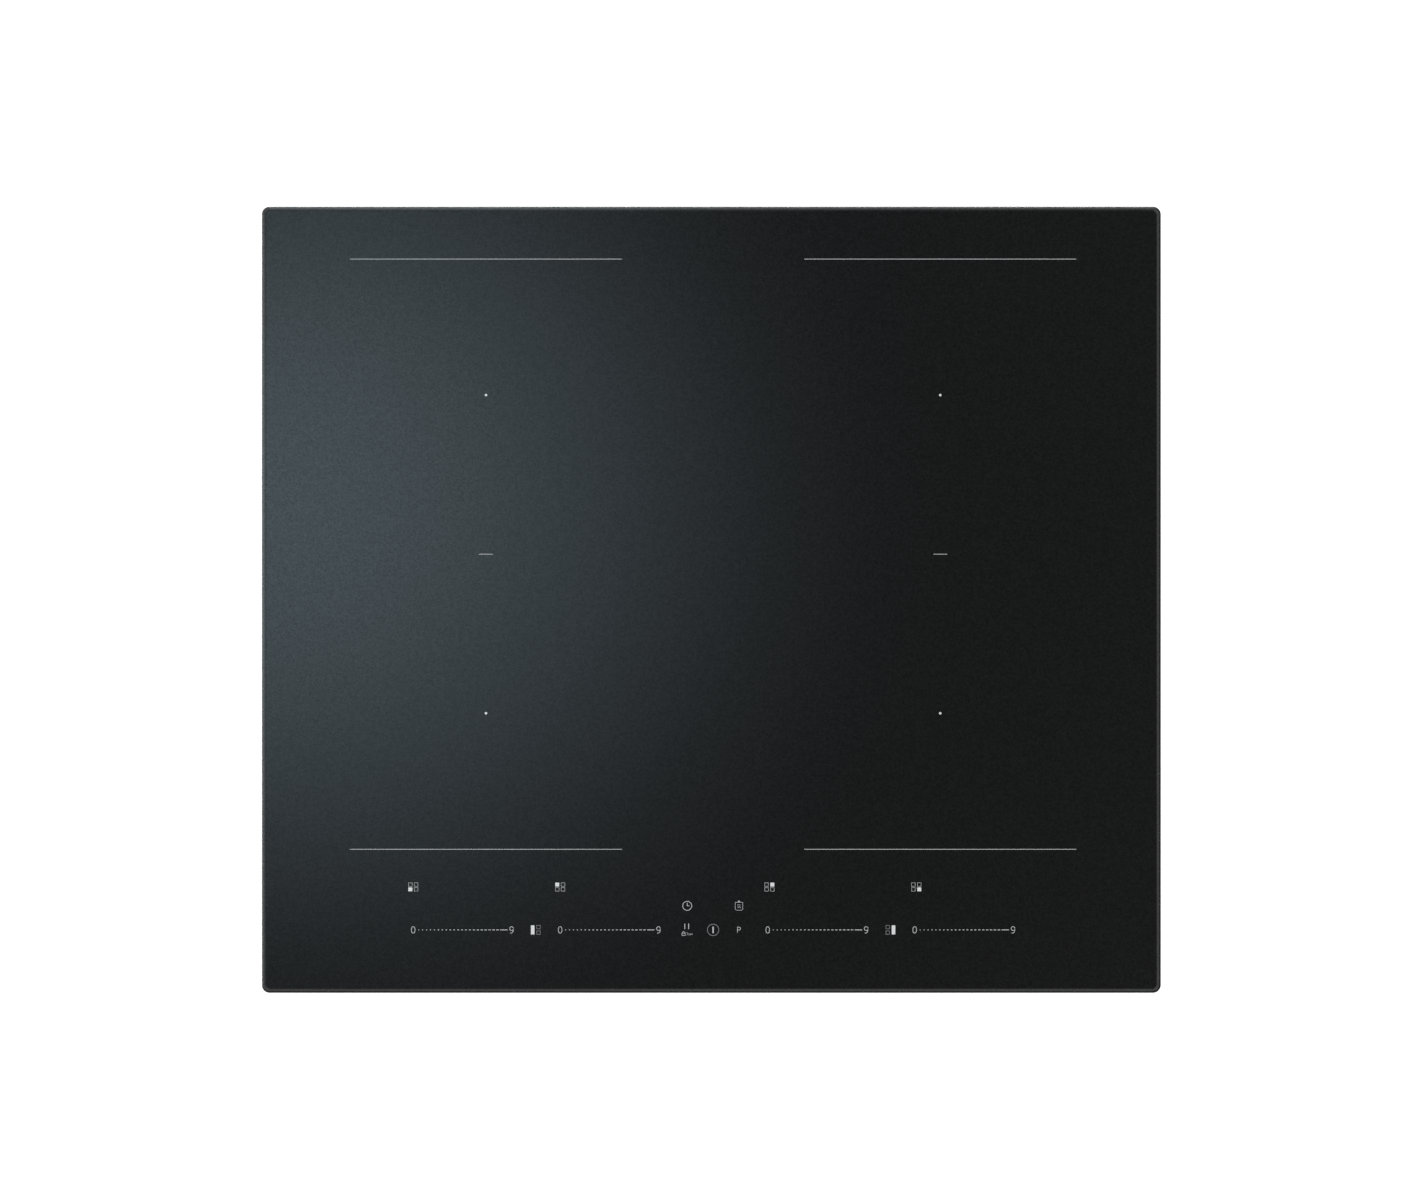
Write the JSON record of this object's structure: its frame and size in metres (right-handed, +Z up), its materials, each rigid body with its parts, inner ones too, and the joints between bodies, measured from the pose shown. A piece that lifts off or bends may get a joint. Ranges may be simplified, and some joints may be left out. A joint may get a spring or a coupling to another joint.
{
  "type": "induction cooktop",
  "caption": "Flat built-in cooktop with a black glass ceramic top, round induction coils under printed zones, front touch sliders and a sheet tray that drops into a worktop cut-out.",
  "frame": {"origin": "centre of the worktop surface under the rim seal", "axes": "+X to the user's right, +Y to the back, +Z up out of the worktop; the controls are towards -Y"},
  "size_m": [0.59, 0.516, 0.0559],
  "materials": {
    "white_print": "fired enamel print on the glass",
    "black_glass": "satin black glass ceramic with a round ground edge",
    "seal_foam": "closed foam strip",
    "silicone": "cured silicone",
    "frame_steel": "zinc coated sheet",
    "tray_steel": "zinc coated sheet with a fine spangle",
    "spring_steel": "bare spring steel",
    "screw_steel": "bright zinc",
    "copper_wire": "stranded enamelled copper",
    "former_plastic": "glass filled nylon",
    "ferrite": "sintered ferrite",
    "mica": "pressed mica sheet",
    "sensor_ceramic": "white ceramic",
    "plate_aluminium": "rolled sheet",
    "sink_aluminium": "extruded",
    "board_green": "solder resist",
    "carrier_plastic": "moulded",
    "transistor_black": "moulded epoxy",
    "capacitor_box": "moulded box",
    "terminal_brass": "turned",
    "choke_green": "coated core",
    "block_plastic": "moulded",
    "wire_jacket": "soft jacket",
    "gland_plastic": "moulded",
    "fan_plastic": "moulded",
    "stator_steel": "stacked sheets",
    "impeller_plastic": "moulded",
    "shaft_steel": "ground",
    "pad_rubber": "conductive foam",
    "display_plastic": "filled lens",
    "ribbon_grey": "flat cable"
  },
  "bodies": {
    "cooktop": {"base_tray": "tray_steel", "board_carrier_left": "carrier_plastic", "board_carrier_right": "carrier_plastic", "board_screws": "screw_steel", "cable_gland": "gland_plastic", "coil_former_front_left": "former_plastic", "coil_former_front_right": "former_plastic", "coil_former_rear_left": "former_plastic", "coil_former_rear_right": "former_plastic", "coil_plate": "plate_aluminium", "coil_springs": "spring_steel", "coil_terminals": "terminal_brass", "coil_winding_front_left": "copper_wire", "coil_winding_front_right": "copper_wire", "coil_winding_rear_left": "copper_wire", "coil_winding_rear_right": "copper_wire", "display_modules": "display_plastic", "fan_bearings": "terminal_brass", "fan_cover_left": "fan_plastic", "fan_cover_right": "fan_plastic", "fan_housing_left": "fan_plastic", "fan_housing_right": "fan_plastic", "fan_stator_left": "stator_steel", "fan_stator_right": "stator_steel", "ferrite_bars_front_left": "ferrite", "ferrite_bars_front_right": "ferrite", "ferrite_bars_rear_left": "ferrite", "ferrite_bars_rear_right": "ferrite", "film_capacitors": "capacitor_box", "filter_board": "board_green", "filter_capacitors": "capacitor_box", "filter_choke": "choke_green", "filter_standoffs": "carrier_plastic", "fixing_springs": "spring_steel", "frame_screws": "screw_steel", "gland_nut": "gland_plastic", "glass_bead": "silicone", "glass_top": "black_glass", "heat_sink_left": "sink_aluminium", "heat_sink_right": "sink_aluminium", "mica_disc_front_left": "mica", "mica_disc_front_right": "mica", "mica_disc_rear_left": "mica", "mica_disc_rear_right": "mica", "pan_sensors": "sensor_ceramic", "power_board_left": "board_green", "power_board_right": "board_green", "power_transistors": "transistor_black", "ribbon_cables": "ribbon_grey", "rim_seal": "seal_foam", "supply_wires": "wire_jacket", "support_frame": "frame_steel", "terminal_block": "block_plastic", "touch_board": "board_green", "touch_holder": "carrier_plastic", "touch_pads": "pad_rubber"},
    "fan_left": {"fan_impeller_left": "impeller_plastic", "fan_shaft_left": "shaft_steel"},
    "fan_right": {"fan_impeller_right": "impeller_plastic", "fan_shaft_right": "shaft_steel"}
  },
  "joints": [
    {"name": "fan_left_spin", "type": "hinge", "parent": "cooktop", "child": "fan_left", "pos_m": [-0.1852, 0.1779, -0.03], "axis": [0, 0, 1], "continuous": true},
    {"name": "fan_right_spin", "type": "hinge", "parent": "cooktop", "child": "fan_right", "pos_m": [0.1852, 0.1779, -0.03], "axis": [0, 0, 1], "continuous": true}
  ]
}
